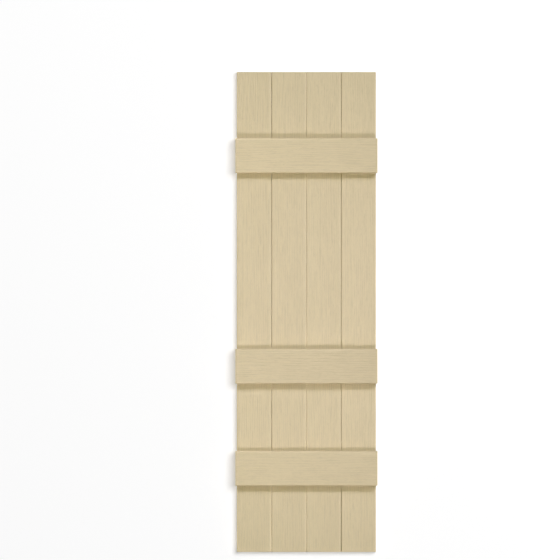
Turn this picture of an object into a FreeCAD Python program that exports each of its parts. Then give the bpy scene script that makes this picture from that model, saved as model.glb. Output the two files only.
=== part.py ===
# Board and batten shutter for the outside of a window, fixed flat to the wall.
# One hollow plank extrusion serves throughout: four lengths stand side by side as the boards,
# three shorter lengths lie across their fronts as the battens, and a plug cap closes every end.
# Millimetres. +X runs to the right seen from the front, +Y into the wall, +Z up.
# The origin is the centre of the back, on the plane that lies against the wall.

import FreeCAD
import Part
import math
import os

# Driving dimensions of the whole shutter
SHUTTER_HEIGHT = 1190.0
BOARD_NAMES = ["left_board", "left_centre_board", "right_centre_board", "right_board"]
BOARD_GAP = 0.1
BATTEN_OVERHANG = 3.6
END_TO_BATTEN = 207.6
LOWER_BATTEN_SPACING = 253.0

# The plank extrusion
PLANK_WIDTH = 86.2
PLANK_THICKNESS = 15.9
LAND_DEPTH = 6.0
SIDE_RELIEF = 0.4
SHOULDER_WIDTH = 8.5
SHOULDER_DROP = 0.5
BRINK_RADIUS = 1.0
WALL = 2.0
WEB = 1.6
CELL_COUNT = 3
CELL_RADIUS = 0.8

# The plug caps
CAP_PLATE = 2.0
CAP_CHAMFER = 0.4
PLUG_DEPTH = 10.0
PLUG_WALL = 1.4
PLUG_CLEARANCE = 0.15
PLUG_DRAFT = 0.25

# Sizes worked out from the driving dimensions
FRONT_WIDTH = PLANK_WIDTH - 2 * SIDE_RELIEF
SHOULDER_ANGLE = 2 * math.atan2(SHOULDER_DROP, SHOULDER_WIDTH)
SHOULDER_RADIUS = SHOULDER_WIDTH / math.sin(SHOULDER_ANGLE)
BOARD_PITCH = PLANK_WIDTH + BOARD_GAP
BOARDS_WIDTH = len(BOARD_NAMES) * BOARD_PITCH - BOARD_GAP
BOARD_LENGTH = SHUTTER_HEIGHT - 2 * CAP_PLATE
BATTEN_LENGTH = BOARDS_WIDTH + 2 * BATTEN_OVERHANG - 2 * CAP_PLATE
PLUG_CHAMFER = CELL_RADIUS
BOTTOM_BATTEN_HEIGHT = END_TO_BATTEN - SHUTTER_HEIGHT / 2
BATTEN_HEIGHTS = {
    "bottom_batten": BOTTOM_BATTEN_HEIGHT,
    "middle_batten": BOTTOM_BATTEN_HEIGHT + LOWER_BATTEN_SPACING,
    "top_batten": SHUTTER_HEIGHT / 2 - END_TO_BATTEN,
}


def plank_outline(height, inset):
    """Outside of the plank, with its back on y = 0, drawn in all round by an inset.

    The sides butt on square lands at the back and then draw in, so that a seam opens to the front.
    Each side turns over a small round brink into a shallow arc, which ends level with the front.
    """
    back = PLANK_WIDTH / 2 - inset
    front = FRONT_WIDTH / 2 - inset
    face = inset - PLANK_THICKNESS
    turn = front - BRINK_RADIUS
    brink = face + SHOULDER_DROP
    level = turn - SHOULDER_WIDTH
    slant = BRINK_RADIUS * math.sqrt(0.5)
    half_way = SHOULDER_ANGLE / 2
    half = [
        (back, -inset),
        (back, -LAND_DEPTH),
        (front, brink + BRINK_RADIUS),
        (turn + slant, brink + BRINK_RADIUS - slant),
        (turn, brink),
        (level + SHOULDER_RADIUS * math.sin(half_way), face + SHOULDER_RADIUS * (1 - math.cos(half_way))),
        (level, face),
    ]
    right = [FreeCAD.Vector(x, y, height) for x, y in half]
    left = [FreeCAD.Vector(-x, y, height) for x, y in half]
    edges = [
        Part.makeLine(left[0], right[0]),
        Part.makeLine(right[0], right[1]),
        Part.makeLine(right[1], right[2]),
        Part.Arc(*right[2:5]).toShape(),
        Part.Arc(*right[4:7]).toShape(),
        Part.makeLine(right[6], left[6]),
        Part.Arc(*left[6:3:-1]).toShape(),
        Part.Arc(*left[4:1:-1]).toShape(),
        Part.makeLine(left[2], left[1]),
        Part.makeLine(left[1], left[0]),
    ]
    return Part.Wire(edges)


def cell_outline(box, height):
    """Closed wire of a cell with its four corners rounded."""
    left, right, front, back = box
    corners = [(left, front), (right, front), (right, back), (left, back)]
    corners = [FreeCAD.Vector(x, y, height) for x, y in corners]
    steps = [FreeCAD.Vector(x, y, 0) * CELL_RADIUS for x, y in [(1, 0), (0, 1), (-1, 0), (0, -1)]]
    edges = []
    for index, corner in enumerate(corners):
        arriving = steps[index - 1]
        leaving = steps[index]
        middle = corner + (leaving - arriving) * (1 - math.sqrt(0.5))
        edges.append(Part.Arc(corner - arriving, middle, corner + leaving).toShape())
        next_corner = corners[(index + 1) % len(corners)]
        edges.append(Part.makeLine(corner + leaving, next_corner - leaving))
    return Part.Wire(edges)


def cell_boxes(inset):
    """Left, right, front and back of every cell in the plank, drawn in from its walls by an inset."""
    clear = (FRONT_WIDTH - 2 * WALL - (CELL_COUNT - 1) * WEB) / CELL_COUNT
    front = -PLANK_THICKNESS + WALL + inset
    back = -WALL - inset
    boxes = []
    for index in range(CELL_COUNT):
        left = -FRONT_WIDTH / 2 + WALL + index * (clear + WEB)
        boxes.append((left + inset, left + clear - inset, front, back))
    return boxes


def plank(length):
    """Hollow plank standing along Z, centred on its length."""
    start = -length / 2
    wires = [plank_outline(start, 0)]
    for box in cell_boxes(0):
        wires.append(cell_outline(box, start))
    section = Part.makeFace(wires, "Part::FaceMakerBullseye")
    return section.extrude(FreeCAD.Vector(0, 0, length))


def plug_outline(box, height):
    """Closed wire of a plug, its corners cut off to clear the rounded corners of the cell."""
    left, right, front, back = box
    points = [
        (left + PLUG_CHAMFER, front),
        (right - PLUG_CHAMFER, front),
        (right, front + PLUG_CHAMFER),
        (right, back - PLUG_CHAMFER),
        (right - PLUG_CHAMFER, back),
        (left + PLUG_CHAMFER, back),
        (left, back - PLUG_CHAMFER),
        (left, front + PLUG_CHAMFER),
    ]
    corners = [FreeCAD.Vector(x, y, height) for x, y in points]
    return Part.makePolygon(corners + corners[:1])


def end_cap(seat, outward):
    """Cap whose plate sits on the plank's end at z = seat, with a drafted hollow plug in every cell."""
    depth = FreeCAD.Vector(0, 0, -outward * PLUG_DEPTH)
    rim = seat + outward * (CAP_PLATE - CAP_CHAMFER)
    crown = [plank_outline(rim, 0), plank_outline(seat + outward * CAP_PLATE, CAP_CHAMFER)]
    plate = Part.Face(plank_outline(seat, 0)).extrude(FreeCAD.Vector(0, 0, rim - seat))
    cap = plate.fuse(Part.makeLoft(crown, True, True))
    roots = cell_boxes(PLUG_CLEARANCE)
    tips = cell_boxes(PLUG_CLEARANCE + PLUG_DRAFT)
    bores = cell_boxes(PLUG_CLEARANCE + PLUG_WALL)
    for root, tip, bore in zip(roots, tips, bores):
        ends = [plug_outline(root, seat), plug_outline(tip, seat + depth.z)]
        hollow = Part.Face(plug_outline(bore, seat)).extrude(depth)
        cap = cap.fuse(Part.makeLoft(ends, True, True).cut(hollow))
    return cap.removeSplitter()


def capped_plank(name, length, first_end, last_end):
    """A plank and the caps on its lower and upper Z ends, by node name."""
    return {
        name: plank(length),
        name + "_" + first_end + "_cap": end_cap(-length / 2, -1),
        name + "_" + last_end + "_cap": end_cap(length / 2, 1),
    }


def build_boards():
    """The boards, set out side by side with their backs on the wall plane."""
    nodes = {}
    for index, name in enumerate(BOARD_NAMES):
        across = (index + 0.5) * BOARD_PITCH - (BOARDS_WIDTH + BOARD_GAP) / 2
        for node, shape in capped_plank(name, BOARD_LENGTH, "bottom", "top").items():
            shape.translate(FreeCAD.Vector(across, 0, 0))
            nodes[node] = shape
    return nodes


def build_battens():
    """The battens, laid along X with their backs on the fronts of the boards."""
    nodes = {}
    for name, height in BATTEN_HEIGHTS.items():
        for node, shape in capped_plank(name, BATTEN_LENGTH, "left", "right").items():
            shape.rotate(FreeCAD.Vector(0, 0, 0), FreeCAD.Vector(0, 1, 0), 90)
            shape.translate(FreeCAD.Vector(0, -PLANK_THICKNESS, height))
            nodes[node] = shape
    return nodes


def main():
    os.makedirs("parts", exist_ok=True)
    nodes = {**build_boards(), **build_battens()}
    for name, shape in nodes.items():
        shape.exportStep(os.path.join("parts", name + ".step"))
        print(name, len(shape.Solids), shape.isValid(), round(shape.Volume / 1000, 1), "cm3")
    print("volume", round(sum(shape.Volume for shape in nodes.values()) / 1000, 1), "cm3")


main()
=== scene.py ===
# Looks of the board and batten shutter, in metres, in the frame of its construction model.
# +X runs to the right seen from the front, +Y into the wall, +Z up, and the back lies on y = 0.
# Boards and battens are dressed as hollow planks with an embossed wood grain and slightly uneven edges.
# The boards have countersunk pockets in their backs for the screws that hold the battens.

import math

import bmesh
import bpy
import numpy as np
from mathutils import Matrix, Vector
from mathutils.geometry import tessellate_polygon


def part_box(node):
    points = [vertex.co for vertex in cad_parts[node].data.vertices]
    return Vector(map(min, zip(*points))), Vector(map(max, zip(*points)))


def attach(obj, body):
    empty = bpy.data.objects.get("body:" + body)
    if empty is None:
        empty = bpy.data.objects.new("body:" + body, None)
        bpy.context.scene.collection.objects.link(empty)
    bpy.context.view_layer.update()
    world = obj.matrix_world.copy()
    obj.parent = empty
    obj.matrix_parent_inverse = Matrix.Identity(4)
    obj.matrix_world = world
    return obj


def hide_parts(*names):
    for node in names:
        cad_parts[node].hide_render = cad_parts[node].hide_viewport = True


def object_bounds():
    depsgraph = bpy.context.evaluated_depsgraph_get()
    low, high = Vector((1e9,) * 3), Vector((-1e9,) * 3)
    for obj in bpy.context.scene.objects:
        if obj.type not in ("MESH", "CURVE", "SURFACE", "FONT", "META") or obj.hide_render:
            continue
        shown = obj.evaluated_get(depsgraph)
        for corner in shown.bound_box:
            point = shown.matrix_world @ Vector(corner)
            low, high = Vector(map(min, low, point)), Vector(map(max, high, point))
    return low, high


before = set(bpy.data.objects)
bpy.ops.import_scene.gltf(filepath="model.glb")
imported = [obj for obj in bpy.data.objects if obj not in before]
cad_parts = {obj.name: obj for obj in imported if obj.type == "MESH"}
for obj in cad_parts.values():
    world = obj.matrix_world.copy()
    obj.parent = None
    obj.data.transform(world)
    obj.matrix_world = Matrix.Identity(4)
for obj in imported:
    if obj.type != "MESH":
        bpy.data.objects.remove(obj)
cad_low, cad_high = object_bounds()

MM = 0.001

# Nodes of the construction model
BOARDS = ["left_board", "left_centre_board", "right_centre_board", "right_board"]
BATTENS = ["top_batten", "middle_batten", "bottom_batten"]
CAPS = sorted(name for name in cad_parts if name.endswith("_cap"))

# Where the shutter lies in the photograph's frame, in pixels
PICTURE_SIDE = 560
SHUTTER_HEIGHT_PIXELS = 480.0
SHUTTER_CENTRE_PIXEL = (306.4, 312.0)

# The camera's lens and sensor, in millimetres
LENS = 480.0
SENSOR = 36.0

# The plank section, as extruded
LAND_DEPTH = 6.0 * MM
SIDE_RELIEF = 0.4 * MM
SHOULDER_WIDTH = 8.5 * MM
SHOULDER_DROP = 0.5 * MM
BRINK_RADIUS = 1.0 * MM
PLANK_WALL = 2.0 * MM
PLANK_WEB = 1.6 * MM
CELL_COUNT = 3
CELL_CHAMFER = 0.6 * MM

# Mesh spacing
FRONT_SPACING = 0.5 * MM
RING_SPACING = 4.0 * MM
SHOULDER_STEPS = 12
BRINK_STEPS = 6
SIDE_STEPS = 4
CIRCLE_STEPS = 24
SHARP_ANGLE = math.radians(35)

# Embossed grain: its depth, the pitch and wander of its rings, and the relief of plain surfaces
GRAIN_DEPTH = 0.30 * MM
GRAIN_PITCH = 5.6 * MM
RING_WANDER = 1.5
PLAIN_RELIEF = 0.3

# How far the lines of the grain drift sideways, and over what length and width
GRAIN_DRIFT = 5.0 * MM
DRIFT_LENGTH = 330.0 * MM
DRIFT_WIDTH = 50.0 * MM

# Cells of the noises that vary the grain, across and along the plank
WANDER_CELL = (14.0 * MM, 160.0 * MM)
STRENGTH_CELL = (4.0 * MM, 22.0 * MM)
STREAK_CELL = (2.5 * MM, 25.0 * MM)
PORE_CELL = (1.1 * MM, 16.0 * MM)

# Shares of the rings, streaks and pores in the relief
RING_SHARE = 0.60
STREAK_SHARE = 0.25
PORE_SHARE = 0.25

# Where in their noise the pores begin, and over what range they come to their full depth
PORE_START = 0.6
PORE_RISE = 0.3

# Small knots: their size, how much they draw the grain in, and their dark eyes
KNOT_WIDTH = 3.6 * MM
KNOT_LENGTH = 7.0 * MM
KNOT_PULL = 0.7
KNOT_EYE_POWER = 5
KNOT_EYE_SHARE = 0.25

# Count of the knots, their reach as shares of a plank's width and length, and the one near a board's foot
KNOTS_PER_METRE = 5.0
KNOT_REACH_ACROSS = 0.42
KNOT_REACH_ALONG = 0.48
FOOT_KNOT_HEIGHT = 51.0 * MM
FOOT_KNOT_ACROSS = 8.0 * MM

# Seeds of the random draws: the first board's, the first batten's, and the step from plank to plank
BOARD_SEED = 0
BATTEN_SEED = 100
SEED_STEP = 10

# How far a plank's front edges stand off their nominal places, to the right or downwards:
# the left and right edge of a board, so that the seams differ, and the top and bottom edge of a batten
EDGE_SHIFTS = {
    "left_board": (0.0, -0.10 * MM),
    "left_centre_board": (0.11 * MM, 0.20 * MM),
    "right_centre_board": (-0.20 * MM, -0.10 * MM),
    "right_board": (0.08 * MM, 0.0),
    "top_batten": (0.15 * MM, -0.55 * MM),
    "middle_batten": (0.40 * MM, -0.30 * MM),
    "bottom_batten": (0.40 * MM, -0.30 * MM),
}
EDGE_WANDER = 0.12 * MM
EDGE_WANDER_LENGTH = 220.0 * MM

# How much a painted highlight brightens a board's right edge more towards its foot, and how far that edge
# moves to the right
FOOT_EDGES = {
    "left_board": (0.40, 0.31 * MM),
    "left_centre_board": (0.17, 0.20 * MM),
    "right_centre_board": (0.0, -0.50 * MM),
}
FOOT_POWER = 6

# Countersunk screws, driven from behind through each board into each batten
SCREW_ACROSS = 26.0 * MM
SCREW_ALONG = 22.0 * MM
POCKET_RADIUS = 4.1 * MM
POCKET_FLOOR_RADIUS = 2.4 * MM
POCKET_DEPTH = 1.7 * MM
HEAD_RADIUS = 3.9 * MM
HEAD_SINK = 0.2 * MM
RECESS_REACH = 2.2 * MM
RECESS_HALF_WIDTH = 0.45 * MM
RECESS_DEPTH = 1.1 * MM
RECESS_TAPER = 0.75

# Colours, linear
VINYL = (0.655, 0.543, 0.357)
CAP_VINYL = (0.620, 0.514, 0.342)
STEEL = (0.38, 0.37, 0.355)
STAGE_WHITE = (0.95, 0.95, 0.95)

# Painted light and shade: each plank's tone, lighter or darker as light fell on it, a painted shade that
# darkens it from left to right, and painted highlights along its long edges
PLANK_LIGHT_AND_SHADE = {
    "left_board": 1.02,
    "left_centre_board": 1.0,
    "right_centre_board": 0.995,
    "right_board": 0.995,
    "top_batten": 1.015,
    "middle_batten": 0.95,
    "bottom_batten": 0.99,
}
BOARD_SHADE_FADE = -0.05
BATTEN_SHADE_FADE = -0.115
EDGE_HIGHLIGHT = 0.08
EDGE_HIGHLIGHT_REACH = 2.2 * MM

# Finish of the embossed vinyl: texture scales per metre, across and along the grain, and ranges of tone
STREAK_SCALES = (900.0, 25.0)
PORE_SCALES = (1500.0, 110.0)
PORE_BAND = (0.56, 0.70)
MOTTLE_SCALE = 9.0
STREAK_TONES = (1.03, 0.97)
PORE_TONES = (1.01, 0.91)
# Painted shade in the grain's grooves, from the plain surface to the deepest groove
GROOVE_SHADE_TONES = (1.05, 0.90)
MOTTLE_TONES = (1.02, 0.98)
VINYL_ROUGHNESS = (0.54, 0.68)
VINYL_SPECULAR = 0.12
VINYL_BUMP_DISTANCE = 1.0 * MM
VINYL_BUMP_STRENGTH = 0.6

# Finish of the moulded caps
CAP_TEXTURE_SCALE = 1800.0
CAP_MOTTLE_SCALE = 30.0
CAP_TEXTURE_TONES = (1.02, 0.98)
CAP_MOTTLE_TONES = (1.03, 0.97)
CAP_ROUGHNESS = (0.42, 0.56)
CAP_SPECULAR = 0.16
CAP_BUMP_DISTANCE = 0.05 * MM
CAP_BUMP_STRENGTH = 0.5

# Finish of the steel screws
BRUSH_SCALES = (4000.0, 600.0, 600.0)
SPOT_SCALE = 700.0
BRUSH_TONES = (1.06, 0.94)
SPOT_TONES = (1.08, 0.9)
STEEL_ROUGHNESS = (0.28, 0.5)
STEEL_SPECULAR = 0.5
STEEL_BUMP_DISTANCE = 0.03 * MM
STEEL_BUMP_STRENGTH = 0.4

# Stage: a wall just behind the shutter and a floor below it, and how far each is lifted towards white
WALL_GAP = 2.0 * MM
WALL_HALF = 2.0
WALL_LIFT = 0.42
FLOOR_HALF = 8.0
FLOOR_DROP = 2.8
FLOOR_LIFT = 0.98

# Light: each lamp's place, aim, size, beam in degrees, watts and colour,
# and whether it lights the stage alone or everything but the stage
LAMPS = [
    ("key", (5.0, -6.2, 6.6), (-0.3, 0.0, -0.05), 3.2, 27, 39.4, (0.73, 0.74, 0.95), False),
    ("low", (1.15, -2.6, -1.85), (-0.1, 0.0, 0.25), 0.8, 50, 5.5, (0.88, 0.82, 1.0), False),
    ("front", (0.0, -2.5, 0.0), (0.0, 0.0, 0.0), 8.0, 180, 56, (0.87, 1.0, 0.02), False),
    ("left", (-4.0, 1.6, 0.8), (0.0, 0.0, 0.0), 3.0, 180, 115, (0.93, 0.91, 1.0), False),
    ("right", (4.0, 1.6, 0.8), (0.0, 0.0, 0.0), 3.0, 180, 44, (0.97, 1.0, 0.75), False),
    ("back", (-1.0, 3.2, 0.2), (0.0, 0.0, 0.0), 4.0, 180, 90, (1.0, 1.0, 1.0), False),
    ("top", (0.0, 0.6, 4.0), (0.0, 0.0, 0.6), 1.0, 90, 9, (1.0, 0.92, 0.55), False),
    ("stage", (4.8, -12.0, 3.4), (0.0, 0.0, 0.0), 8.0, 180, 1320, (1.0, 1.0, 1.0), True),
]
WORLD_SHARE = 0.01


class Shape:
    """Vertices and faces of one piece, gathered loop by loop."""

    def __init__(self):
        self.points = []
        self.faces = []

    def loop(self, points):
        """Adds points and returns their numbers."""
        start = len(self.points)
        self.points.extend(points)
        return list(range(start, len(self.points)))

    def bridge(self, first, second, closed):
        """Quads between two loops with the same count of points."""
        last = len(first) if closed else len(first) - 1
        for index in range(last):
            after = (index + 1) % len(first)
            self.faces.append((first[index], first[after], second[after], second[index]))

    def fill(self, outline, holes=()):
        """Triangles over a flat outline, round its holes."""
        loops = [outline, *holes]
        numbers = [number for loop in loops for number in loop]
        corners = [[Vector(self.points[number]) for number in loop] for loop in loops]
        for triangle in tessellate_polygon(corners):
            self.faces.append(tuple(numbers[index] for index in triangle))

    def make(self, name, material):
        """The finished object, with outward faces, smooth but for its sharp edges."""
        mesh = bpy.data.meshes.new(name)
        mesh.from_pydata(self.points, [], self.faces)
        mesh.materials.append(material)
        piece = bpy.data.objects.new(name, mesh)
        bpy.context.scene.collection.objects.link(piece)
        turn_faces_outward(mesh)
        mesh.shade_smooth()
        mesh.set_sharp_from_angle(angle=SHARP_ANGLE)
        return piece


def turn_faces_outward(mesh):
    """Makes the faces of a closed mesh agree and point out."""
    work = bmesh.new()
    work.from_mesh(mesh)
    bmesh.ops.recalc_face_normals(work, faces=work.faces)
    work.to_mesh(mesh)
    work.free()


class Plank:
    """Place and size of a plank node: across its width, out of its back, along its length."""

    def __init__(self, node, upright):
        low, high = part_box(node)
        self.node = node
        self.upright = upright
        self.centre = (low + high) / 2
        self.back = high.y
        self.thickness = high.y - low.y
        size = high - low
        self.width, self.length = (size.x, size.z) if upright else (size.z, size.x)

    def place(self, across, depth, along):
        """A point of the plank in the frame. Depth counts out of the back, towards the front."""
        if self.upright:
            return (self.centre.x + across, self.back - depth, self.centre.z + along)
        return (self.centre.x + along, self.back - depth, self.centre.z - across)

    def level(self, points, depth):
        """Points (across, along) of the plank at one depth, in the frame."""
        return [self.place(across, depth, along) for across, along in points]


def eased(share):
    """A share from 0 to 1, made to start and stop gently."""
    return share * share * (3 - 2 * share)


def smooth_noise(first, second, random):
    """Smooth noise from 0 to 1 over two arrays of lattice coordinates."""
    first = first - np.floor(first.min())
    second = second - np.floor(second.min())
    lattice = random.random((int(first.max()) + 2, int(second.max()) + 2))
    row = first.astype(int)
    column = second.astype(int)
    past_row = eased(first - row)
    past_column = eased(second - column)
    near = lattice[row, column] * (1 - past_row) + lattice[row + 1, column] * past_row
    far = lattice[row, column + 1] * (1 - past_row) + lattice[row + 1, column + 1] * past_row
    return near * (1 - past_column) + far * past_column


def cell_noise(across, along, cell, random):
    """Smooth noise over places on a plank, with cells of the width and length given."""
    width, length = cell
    return smooth_noise(across / width, along / length, random)


def scatter_knots(plank, random):
    """Centres of the small knots on a plank: a few at random, and one near the foot of a board."""
    count = round(KNOTS_PER_METRE * plank.length)
    across = random.uniform(-KNOT_REACH_ACROSS, KNOT_REACH_ACROSS, count) * plank.width
    along = random.uniform(-KNOT_REACH_ALONG, KNOT_REACH_ALONG, count) * plank.length
    knots = list(zip(across, along))
    if plank.upright:
        knots.append((FOOT_KNOT_ACROSS, FOOT_KNOT_HEIGHT - plank.length / 2))
    return knots


def embossed_grain(plank, across, along, seed):
    """Relief from 0, the surface, to 1, the deepest groove, over arrays of places on the front."""
    random = np.random.default_rng(seed)
    drift = smooth_noise(along / DRIFT_LENGTH, across / DRIFT_WIDTH, random)
    line = across + GRAIN_DRIFT * (drift - 0.5)
    eyes = np.zeros_like(across)
    for knot_across, knot_along in scatter_knots(plank, random):
        aside = across - knot_across
        nearness = np.exp(-(aside / KNOT_WIDTH) ** 2 - ((along - knot_along) / KNOT_LENGTH) ** 2)
        line = line - KNOT_PULL * aside * nearness
        eyes = np.maximum(eyes, nearness ** KNOT_EYE_POWER)
    phase = line / GRAIN_PITCH + RING_WANDER * cell_noise(line, along, WANDER_CELL, random)
    strength = cell_noise(line, along, STRENGTH_CELL, random)
    rings = strength * (0.5 + 0.5 * np.sin(2 * math.pi * phase))
    streaks = cell_noise(line, along, STREAK_CELL, random)
    pores = np.clip((cell_noise(line, along, PORE_CELL, random) - PORE_START) / PORE_RISE, 0, 1)
    relief = RING_SHARE * rings + STREAK_SHARE * streaks + PORE_SHARE * pores
    return np.clip(relief + KNOT_EYE_SHARE * eyes, 0, 1)


def plank_section(plank):
    """Points of the section from one back edge over the front to the other, as four arrays.

    They are the place across, the depth, the share of embossing and the share of edge shift.
    """
    back = plank.width / 2
    turn = back - SIDE_RELIEF - BRINK_RADIUS
    flat = turn - SHOULDER_WIDTH
    brink_depth = plank.thickness - SHOULDER_DROP
    side_depth = brink_depth - BRINK_RADIUS - LAND_DEPTH
    rise = np.linspace(0, 1, SIDE_STEPS, endpoint=False)
    angle = np.linspace(0, math.pi / 2, BRINK_STEPS, endpoint=False)
    fall = np.linspace(1, 0, SHOULDER_STEPS, endpoint=False)
    front = np.linspace(-flat, flat, round(2 * flat / FRONT_SPACING) + 1)
    corner = ([-back], [0], [0], [0])
    side = (SIDE_RELIEF * rise - back, LAND_DEPTH + side_depth * rise, np.zeros_like(rise), rise)
    brink = (
        -turn - BRINK_RADIUS * np.cos(angle),
        brink_depth - BRINK_RADIUS * (1 - np.sin(angle)),
        np.zeros_like(angle),
        np.ones_like(angle),
    )
    shoulder = (
        -flat - SHOULDER_WIDTH * fall,
        plank.thickness - SHOULDER_DROP * fall ** 2,
        1 - fall ** 2,
        np.ones_like(fall),
    )
    left_edge = [np.concatenate(parts) for parts in zip(corner, side, brink, shoulder)]
    middle = [front, np.full_like(front, plank.thickness), np.ones_like(front), np.ones_like(front)]
    right_edge = [values[::-1] for values in left_edge]
    right_edge[0] = -right_edge[0]
    return [np.concatenate(parts) for parts in zip(left_edge, middle, right_edge)]


def towards_foot(plank, height):
    """Rises from 0 at a board's head to 1 at its foot, mostly near the foot."""
    return (0.5 - height / plank.length) ** FOOT_POWER


def edge_offsets(plank, across, along, seed):
    """Small sideways offsets that shift the plank's two front edges and let them wander along it."""
    random = np.random.default_rng(seed)
    left, right = EDGE_SHIFTS[plank.node]
    left_wander, right_wander = [
        EDGE_WANDER * (smooth_noise(along / EDGE_WANDER_LENGTH, np.zeros_like(along), random) - 0.5)
        for _ in range(2)
    ]
    _, foot_shift = FOOT_EDGES.get(plank.node, (0.0, 0.0))
    right = right + foot_shift * towards_foot(plank, along)
    share = across / plank.width + 0.5
    return (left + left_wander) * (1 - share) + (right + right_wander) * share


def cell_corners(plank):
    """Corner points (across, depth) of each hollow cell, with small chamfers for its fillets."""
    outer = plank.width / 2 - SIDE_RELIEF - PLANK_WALL
    clear = (2 * outer - (CELL_COUNT - 1) * PLANK_WEB) / CELL_COUNT
    near = PLANK_WALL
    far = plank.thickness - PLANK_WALL
    cut = CELL_CHAMFER
    cells = []
    for index in range(CELL_COUNT):
        low = -outer + index * (clear + PLANK_WEB)
        high = low + clear
        cells.append([
            (low + cut, near), (high - cut, near), (high, near + cut), (high, far - cut),
            (high - cut, far), (low + cut, far), (low, far - cut), (low, near + cut),
        ])
    return cells


def circle(radius, centre):
    """Points (across, along) of a circle."""
    across, along = centre
    angles = np.linspace(0, 2 * math.pi, CIRCLE_STEPS, endpoint=False)
    return [(across + radius * math.cos(angle), along + radius * math.sin(angle)) for angle in angles]


def lay_surface(shape, plank, across, depth, along):
    """The plank's front and sides, as rings of points from end to end. Returns the rings."""
    rings = []
    for row in zip(across, depth, along):
        rings.append(shape.loop([plank.place(*point) for point in zip(*row)]))
    for first, second in zip(rings, rings[1:]):
        shape.bridge(first, second, closed=False)
    return rings


def sink_pocket(shape, plank, centre):
    """A countersunk pocket in the plank's back. Returns its rim."""
    rim = shape.loop(plank.level(circle(POCKET_RADIUS, centre), 0))
    floor = shape.loop(plank.level(circle(POCKET_FLOOR_RADIUS, centre), POCKET_DEPTH))
    shape.bridge(rim, floor, closed=True)
    shape.fill(floor)
    return rim


def close_back(shape, rings, stations, pockets):
    """Faces over a plank's back from edge to edge, cut round the pockets, given by place along and rim."""
    edges = [(ring[0], ring[-1]) for ring in rings]
    whole = np.ones(len(rings) - 1, bool)
    for along, rim in pockets:
        first = np.searchsorted(stations, along - POCKET_RADIUS) - 1
        last = np.searchsorted(stations, along + POCKET_RADIUS)
        one_side, other_side = zip(*edges[first:last + 1])
        shape.fill([*one_side, *reversed(other_side)], [rim])
        whole[first:last] = False
    for index in np.flatnonzero(whole):
        shape.bridge(edges[index], edges[index + 1], closed=False)


def open_cells(shape, plank, rings, stations):
    """The hollow cells from end to end, and the plank's two end faces round them."""
    cells = cell_corners(plank)
    near_cells, far_cells = [
        [shape.loop([plank.place(across, depth, station) for across, depth in cell]) for cell in cells]
        for station in (stations[0], stations[-1])
    ]
    for near, far in zip(near_cells, far_cells):
        shape.bridge(near, far, closed=True)
    shape.fill(rings[0], near_cells)
    shape.fill(rings[-1], far_cells)


def surface_tone(plank, points):
    """Tone at a plank's points: its own painted light and shade, a painted shade from left to right, and
    painted highlights along its front edges.
    """
    right, out, up = np.array(points).T
    # Painted shade: the plank darkens from its left to its right
    share = (right - right.min()) / np.ptp(right)
    fade = BOARD_SHADE_FADE if plank.upright else BATTEN_SHADE_FADE
    across = right - plank.centre.x if plank.upright else up - plank.centre.z
    aside = np.abs(across) - (plank.width / 2 - SIDE_RELIEF)
    above = plank.back - out - (plank.thickness - SHOULDER_DROP)
    # Painted highlight along the plank's front edges
    highlight_near_edge = np.exp(-(np.hypot(aside, above) / EDGE_HIGHLIGHT_REACH) ** 2)
    # Painted highlight on a board's right edge, growing towards its foot
    foot_highlight, _ = FOOT_EDGES.get(plank.node, (0.0, 0.0))
    lift = EDGE_HIGHLIGHT + foot_highlight * towards_foot(plank, up - plank.centre.z) * (across > 0)
    return PLANK_LIGHT_AND_SHADE[plank.node] * (1 + fade * (share - 0.5)) * (1 + lift * highlight_near_edge)


def keep_values(piece, name, values):
    """Keeps a value at each point of a piece, for its material."""
    attribute = piece.data.attributes.new(name, "FLOAT", "POINT")
    attribute.data.foreach_set("value", values.astype(np.float32))


def keep_finish(piece, plank, points, relief, embossing):
    """Keeps what the vinyl's material reads: where it is embossed, how deep the grain is, and its tone."""
    embossed = np.zeros(len(points))
    embossed[:relief.size] = np.broadcast_to(embossing, relief.shape).ravel()
    grain = np.full(len(points), PLAIN_RELIEF)
    grain[:relief.size] += ((relief - PLAIN_RELIEF) * embossing).ravel()
    keep_values(piece, "embossed", embossed)
    keep_values(piece, "grain", grain)
    keep_values(piece, "tone", surface_tone(plank, points))


def dress_plank(plank, material, seed, screws=()):
    """Replaces a plank node by its hollow, embossed shape, with a pocket in its back for each screw."""
    section_across, section_depth, embossing, freedom = plank_section(plank)
    ring_count = round(plank.length / RING_SPACING) + 1
    stations = np.linspace(-plank.length / 2, plank.length / 2, ring_count)
    across, along = np.meshgrid(section_across, stations)
    relief = embossed_grain(plank, across, along, seed)
    across = across + edge_offsets(plank, across, along, seed + 1) * freedom
    depth = section_depth - GRAIN_DEPTH * relief * embossing

    shape = Shape()
    rings = lay_surface(shape, plank, across, depth, along)
    pockets = [(centre[1], sink_pocket(shape, plank, centre)) for centre in screws]
    close_back(shape, rings, stations, pockets)
    open_cells(shape, plank, rings, stations)

    piece = shape.make(plank.node + "_dressed", material)
    keep_finish(piece, plank, shape.points, relief, embossing)
    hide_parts(plank.node)
    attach(piece, "root")


def screw_places(board, battens):
    """Places (across, along) on a board's back of the two screws into each batten."""
    places = []
    for batten in battens:
        height = batten.centre.z - board.centre.z
        places.append((-SCREW_ACROSS, height + SCREW_ALONG))
        places.append((SCREW_ACROSS, height - SCREW_ALONG))
    return places


def cross_outline(scale, centre):
    """Points (across, along) of the driving recess: a plain cross with three points to an arm."""
    reach = RECESS_REACH * scale
    half = RECESS_HALF_WIDTH * scale
    arm = [(reach, -half), (reach, half), (half, half)]
    points = []
    for quarter in range(4):
        for across, along in arm:
            for _ in range(quarter):
                across, along = -along, across
            points.append((centre[0] + across, centre[1] + along))
    return points


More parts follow.
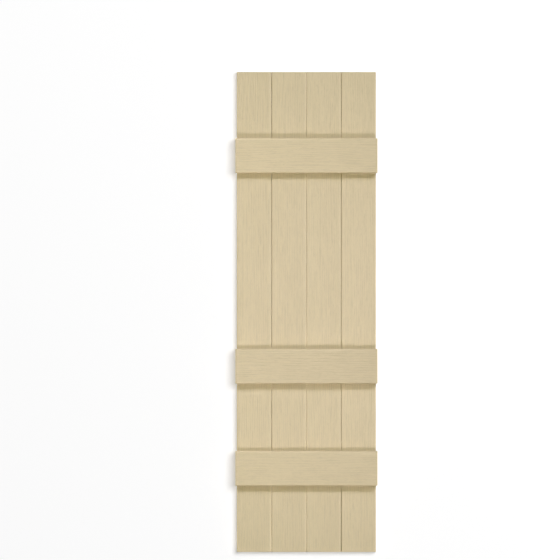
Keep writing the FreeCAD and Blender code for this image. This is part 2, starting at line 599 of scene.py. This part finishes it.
def add_screw_head(shape, board, centre):
    """A countersunk head with a cross recess, sunk a little below the board's back."""
    rim = shape.loop(board.level(circle(HEAD_RADIUS, centre), HEAD_SINK))
    seat = shape.loop(board.level(circle(POCKET_FLOOR_RADIUS, centre), POCKET_DEPTH))
    mouth = shape.loop(board.level(cross_outline(1, centre), HEAD_SINK))
    foot = shape.loop(board.level(cross_outline(RECESS_TAPER, centre), HEAD_SINK + RECESS_DEPTH))
    shape.bridge(rim, seat, closed=True)
    shape.fill(seat)
    shape.fill(rim, [mouth])
    shape.bridge(mouth, foot, closed=True)
    arms = [foot[start:start + 3] for start in range(0, len(foot), 3)]
    for index, arm in enumerate(arms):
        shape.faces.append((arms[index - 1][-1], *arm))
    shape.faces.append(tuple(arm[-1] for arm in arms))


def fit_screws(boards, battens, material):
    """All the screw heads behind each batten, as one piece a batten."""
    for batten in battens:
        shape = Shape()
        for board in boards:
            for centre in screw_places(board, [batten]):
                add_screw_head(shape, board, centre)
        piece = shape.make(batten.node + "_screws", material)
        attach(piece, "root")


class Nodes:
    """The node tree of a material or world, with short calls to add and join nodes."""

    def __init__(self, owner, output):
        owner.use_nodes = True
        self.tree = owner.node_tree
        self.tree.nodes.clear()
        self.surface = self.add(output).inputs["Surface"]

    def add(self, kind, **settings):
        """A new node with its settings."""
        node = self.tree.nodes.new(kind)
        for key, value in settings.items():
            setattr(node, key, value)
        return node

    def join(self, source, target):
        """A link from an output to an input."""
        self.tree.links.new(source, target)

    def stretched(self, scales):
        """Object coordinates scaled along each axis."""
        place = self.add("ShaderNodeTexCoord")
        mapping = self.add("ShaderNodeMapping")
        mapping.inputs["Scale"].default_value = scales
        self.join(place.outputs["Object"], mapping.inputs["Vector"])
        return mapping.outputs["Vector"]

    def noise(self, detail, scale=1.0, scales=(1.0, 1.0, 1.0)):
        """The height of a noise texture at a scale per metre, or at one for each axis."""
        node = self.add("ShaderNodeTexNoise")
        node.inputs["Scale"].default_value = scale
        node.inputs["Detail"].default_value = detail
        self.join(self.stretched(scales), node.inputs["Vector"])
        return node.outputs["Fac"]

    def attribute(self, name):
        """A value that the mesh keeps at its points."""
        return self.add("ShaderNodeAttribute", attribute_name=name).outputs["Fac"]

    def ranged(self, value, low, high, start=0.0, stop=1.0):
        """A value carried from the range between start and stop to another."""
        node = self.add("ShaderNodeMapRange")
        node.inputs["From Min"].default_value = start
        node.inputs["From Max"].default_value = stop
        node.inputs["To Min"].default_value = low
        node.inputs["To Max"].default_value = high
        self.join(value, node.inputs["Value"])
        return node.outputs["Result"]

    def combined(self, operation, *values):
        """Several values combined in turn by an operation."""
        result = values[0]
        for value in values[1:]:
            node = self.add("ShaderNodeMath", operation=operation)
            self.join(result, node.inputs[0])
            self.join(value, node.inputs[1])
            result = node.outputs[0]
        return result

    def seen(self):
        """1 for what the camera, reflections and glass see, 0 for what lights the object."""
        path = self.add("ShaderNodeLightPath")
        kinds = ["Is Camera Ray", "Is Glossy Ray", "Is Transmission Ray"]
        return self.combined("MAXIMUM", *[path.outputs[kind] for kind in kinds])

    def shaded(self, colour, value):
        """A colour made lighter or darker by a value."""
        node = self.add("ShaderNodeVectorMath", operation="SCALE")
        node.inputs[0].default_value = colour
        self.join(value, node.inputs["Scale"])
        return node.outputs["Vector"]

    def bumped(self, height, distance, strength, shader):
        """Fine relief on a shader."""
        node = self.add("ShaderNodeBump")
        node.inputs["Distance"].default_value = distance
        node.inputs["Strength"].default_value = strength
        self.join(height, node.inputs["Height"])
        self.join(node.outputs["Normal"], shader.inputs["Normal"])

    def principled(self, specular, metallic=0.0):
        """The surface's main shader."""
        shader = self.add("ShaderNodeBsdfPrincipled")
        shader.inputs["Metallic"].default_value = metallic
        shader.inputs["Specular IOR Level"].default_value = specular
        self.join(shader.outputs["BSDF"], self.surface)
        return shader


def new_material(name):
    """A material and the nodes that it is made of."""
    material = bpy.data.materials.new(name)
    return material, Nodes(material, "ShaderNodeOutputMaterial")


def grain_scales(across, along, length_axis):
    """Texture scales for the three axes, of which one runs along the grain."""
    scales = [across, across, across]
    scales[length_axis] = along
    return scales


def embossed_vinyl(name, colour, length_axis):
    """Satin vinyl with streaks and short pores along its length, with painted shade darkening the grooves
    of its grain.
    """
    material, nodes = new_material(name)
    shader = nodes.principled(VINYL_SPECULAR)
    streaks = nodes.noise(detail=3.0, scales=grain_scales(*STREAK_SCALES, length_axis))
    pore_noise = nodes.noise(detail=1.0, scales=grain_scales(*PORE_SCALES, length_axis))
    mottle = nodes.noise(detail=3.0, scale=MOTTLE_SCALE)
    pores = nodes.combined(
        "MULTIPLY",
        nodes.attribute("embossed"),
        nodes.ranged(pore_noise, 0.0, 1.0, *PORE_BAND),
    )
    texture = nodes.combined(
        "MULTIPLY",
        nodes.ranged(streaks, *STREAK_TONES),
        nodes.ranged(pores, *PORE_TONES),
    )
    tone = nodes.combined(
        "MULTIPLY",
        texture,
        nodes.attribute("tone"),
        # painted shade: the deeper the groove, the darker the colour
        nodes.ranged(nodes.attribute("grain"), *GROOVE_SHADE_TONES),
        nodes.ranged(mottle, *MOTTLE_TONES),
    )
    nodes.join(nodes.shaded(colour, tone), shader.inputs["Base Color"])
    nodes.join(nodes.ranged(streaks, *VINYL_ROUGHNESS), shader.inputs["Roughness"])
    nodes.bumped(texture, VINYL_BUMP_DISTANCE, VINYL_BUMP_STRENGTH, shader)
    return material


def moulded_vinyl(name, colour):
    """Satin vinyl of the moulded caps, with a fine even texture."""
    material, nodes = new_material(name)
    shader = nodes.principled(CAP_SPECULAR)
    texture = nodes.noise(detail=2.0, scale=CAP_TEXTURE_SCALE)
    mottle = nodes.noise(detail=3.0, scale=CAP_MOTTLE_SCALE)
    tone = nodes.combined(
        "MULTIPLY",
        nodes.ranged(texture, *CAP_TEXTURE_TONES),
        nodes.ranged(mottle, *CAP_MOTTLE_TONES),
    )
    nodes.join(nodes.shaded(colour, tone), shader.inputs["Base Color"])
    nodes.join(nodes.ranged(texture, *CAP_ROUGHNESS), shader.inputs["Roughness"])
    nodes.bumped(texture, CAP_BUMP_DISTANCE, CAP_BUMP_STRENGTH, shader)
    return material


def screw_steel(name, colour):
    """Zinc-plated steel, faintly brushed and spotted."""
    material, nodes = new_material(name)
    shader = nodes.principled(STEEL_SPECULAR, metallic=1.0)
    brushed = nodes.noise(detail=2.0, scales=BRUSH_SCALES)
    spots = nodes.noise(detail=3.0, scale=SPOT_SCALE)
    tone = nodes.combined(
        "MULTIPLY",
        nodes.ranged(brushed, *BRUSH_TONES),
        nodes.ranged(spots, *SPOT_TONES),
    )
    nodes.join(nodes.shaded(colour, tone), shader.inputs["Base Color"])
    nodes.join(nodes.ranged(spots, *STEEL_ROUGHNESS), shader.inputs["Roughness"])
    nodes.bumped(brushed, STEEL_BUMP_DISTANCE, STEEL_BUMP_STRENGTH, shader)
    return material


def stage_white(name, lift, one_sided):
    """Plain white that keeps shadows. Where it is seen, it is lifted towards the white of the ground."""
    material, nodes = new_material(name)
    paint = nodes.add("ShaderNodeBsdfDiffuse")
    paint.inputs["Color"].default_value = (*STAGE_WHITE, 1.0)
    glow = nodes.add("ShaderNodeEmission")
    nodes.join(nodes.ranged(nodes.seen(), 0.0, lift), glow.inputs["Strength"])
    lifted = nodes.add("ShaderNodeAddShader")
    nodes.join(paint.outputs["BSDF"], lifted.inputs[0])
    nodes.join(glow.outputs["Emission"], lifted.inputs[1])
    surface = lifted.outputs["Shader"]
    if one_sided:
        side = nodes.add("ShaderNodeNewGeometry")
        clear = nodes.add("ShaderNodeBsdfTransparent")
        choice = nodes.add("ShaderNodeMixShader")
        nodes.join(side.outputs["Backfacing"], choice.inputs["Fac"])
        nodes.join(surface, choice.inputs[1])
        nodes.join(clear.outputs["BSDF"], choice.inputs[2])
        surface = choice.outputs["Shader"]
    nodes.join(surface, nodes.surface)
    return material


def dress_shutter():
    """Boards, battens, caps and screws with their finishes."""
    board_vinyl = embossed_vinyl("board_vinyl", VINYL, length_axis=2)
    batten_vinyl = embossed_vinyl("batten_vinyl", VINYL, length_axis=0)
    cap_vinyl = moulded_vinyl("cap_vinyl", CAP_VINYL)
    boards = [Plank(name, upright=True) for name in BOARDS]
    battens = [Plank(name, upright=False) for name in BATTENS]
    for index, board in enumerate(boards):
        seed = BOARD_SEED + SEED_STEP * index
        dress_plank(board, board_vinyl, seed, screw_places(board, battens))
    for index, batten in enumerate(battens):
        seed = BATTEN_SEED + SEED_STEP * index
        dress_plank(batten, batten_vinyl, seed)
    fit_screws(boards, battens, screw_steel("screw_steel", STEEL))
    for name in CAPS:
        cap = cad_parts[name]
        cap.data.materials.clear()
        cap.data.materials.append(cap_vinyl)


def stage_plane(name, corners, material):
    """A plane of the stage through four corners."""
    mesh = bpy.data.meshes.new(name)
    mesh.from_pydata(corners, [], [(0, 1, 2, 3)])
    mesh.materials.append(material)
    plane = bpy.data.objects.new(name, mesh)
    bpy.context.scene.collection.objects.link(plane)
    return plane


def set_stage():
    """A floor, and a wall that only the camera sees, and only from the front, so the back shows too."""
    wall_y = cad_high.y + WALL_GAP
    floor_z = cad_low.z - FLOOR_DROP
    wall_corners = [
        (-WALL_HALF, wall_y, floor_z),
        (WALL_HALF, wall_y, floor_z),
        (WALL_HALF, wall_y, -floor_z),
        (-WALL_HALF, wall_y, -floor_z),
    ]
    wall_white = stage_white("stage_wall_white", WALL_LIFT, one_sided=True)
    wall = stage_plane("stage_wall", wall_corners, wall_white)
    wall.visible_diffuse = False
    wall.visible_glossy = False
    wall.visible_shadow = False
    floor_corners = [
        (-FLOOR_HALF, -FLOOR_HALF, floor_z),
        (FLOOR_HALF, -FLOOR_HALF, floor_z),
        (FLOOR_HALF, FLOOR_HALF, floor_z),
        (-FLOOR_HALF, FLOOR_HALF, floor_z),
    ]
    floor_white = stage_white("stage_floor_white", FLOOR_LIFT, one_sided=False)
    floor = stage_plane("stage_floor", floor_corners, floor_white)
    floor.visible_diffuse = False
    floor.visible_shadow = False


def stage_receivers(name, state):
    """A set of receivers for lamps that takes the stage in or leaves it out."""
    receivers = bpy.data.collections.new(name)
    for stage_name in ("stage_wall", "stage_floor"):
        receivers.objects.link(bpy.data.objects[stage_name])
    for entry in receivers.collection_objects:
        entry.light_linking.link_state = state
    return receivers


def add_lamp(name, place, aim, size, beam, watts, colour, receivers):
    """A square lamp for the receivers alone."""
    light = bpy.data.lights.new(name, "AREA")
    light.shape = "SQUARE"
    light.size = size
    light.spread = math.radians(beam)
    light.energy = watts
    light.color = colour
    lamp = bpy.data.objects.new(name, light)
    lamp.location = place
    lamp.rotation_mode = "QUATERNION"
    lamp.rotation_quaternion = (Vector(aim) - Vector(place)).to_track_quat("-Z", "Y")
    lamp.visible_camera = False
    lamp.light_linking.receiver_collection = receivers
    bpy.context.scene.collection.objects.link(lamp)


def set_lamps():
    """The lamps for the shutter, and the one for the stage."""
    stage_only = stage_receivers("stage_only", "INCLUDE")
    all_but_stage = stage_receivers("all_but_stage", "EXCLUDE")
    for *settings, lights_stage in LAMPS:
        add_lamp(*settings, stage_only if lights_stage else all_but_stage)


def set_world():
    """A little light from all round, and a white ground where it is seen."""
    world = bpy.data.worlds.new("studio")
    nodes = Nodes(world, "ShaderNodeOutputWorld")
    background = nodes.add("ShaderNodeBackground")
    background.inputs["Color"].default_value = (1.0, 1.0, 1.0, 1.0)
    nodes.join(nodes.ranged(nodes.seen(), WORLD_SHARE, 1.0), background.inputs["Strength"])
    nodes.join(background.outputs["Background"], nodes.surface)
    bpy.context.scene.world = world


def set_camera():
    """Looks straight at the wall, with the shutter at its place in the photograph's frame."""
    centre = (cad_low + cad_high) / 2
    metres_per_pixel = (cad_high.z - cad_low.z) / SHUTTER_HEIGHT_PIXELS
    middle = PICTURE_SIDE / 2
    right = (SHUTTER_CENTRE_PIXEL[0] - middle) * metres_per_pixel
    down = (SHUTTER_CENTRE_PIXEL[1] - middle) * metres_per_pixel
    distance = PICTURE_SIDE * metres_per_pixel * LENS / SENSOR
    board_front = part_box(BOARDS[0])[0].y
    data = bpy.data.cameras.new("camera")
    data.lens = LENS
    data.sensor_width = SENSOR
    camera = bpy.data.objects.new("camera", data)
    camera.location = (centre.x - right, board_front - distance, centre.z + down)
    camera.rotation_euler = (math.pi / 2, 0, 0)
    bpy.context.scene.collection.objects.link(camera)
    bpy.context.scene.camera = camera


set_camera()
dress_shutter()
set_stage()
set_world()
set_lamps()
bpy.context.scene.view_settings.view_transform = "Standard"
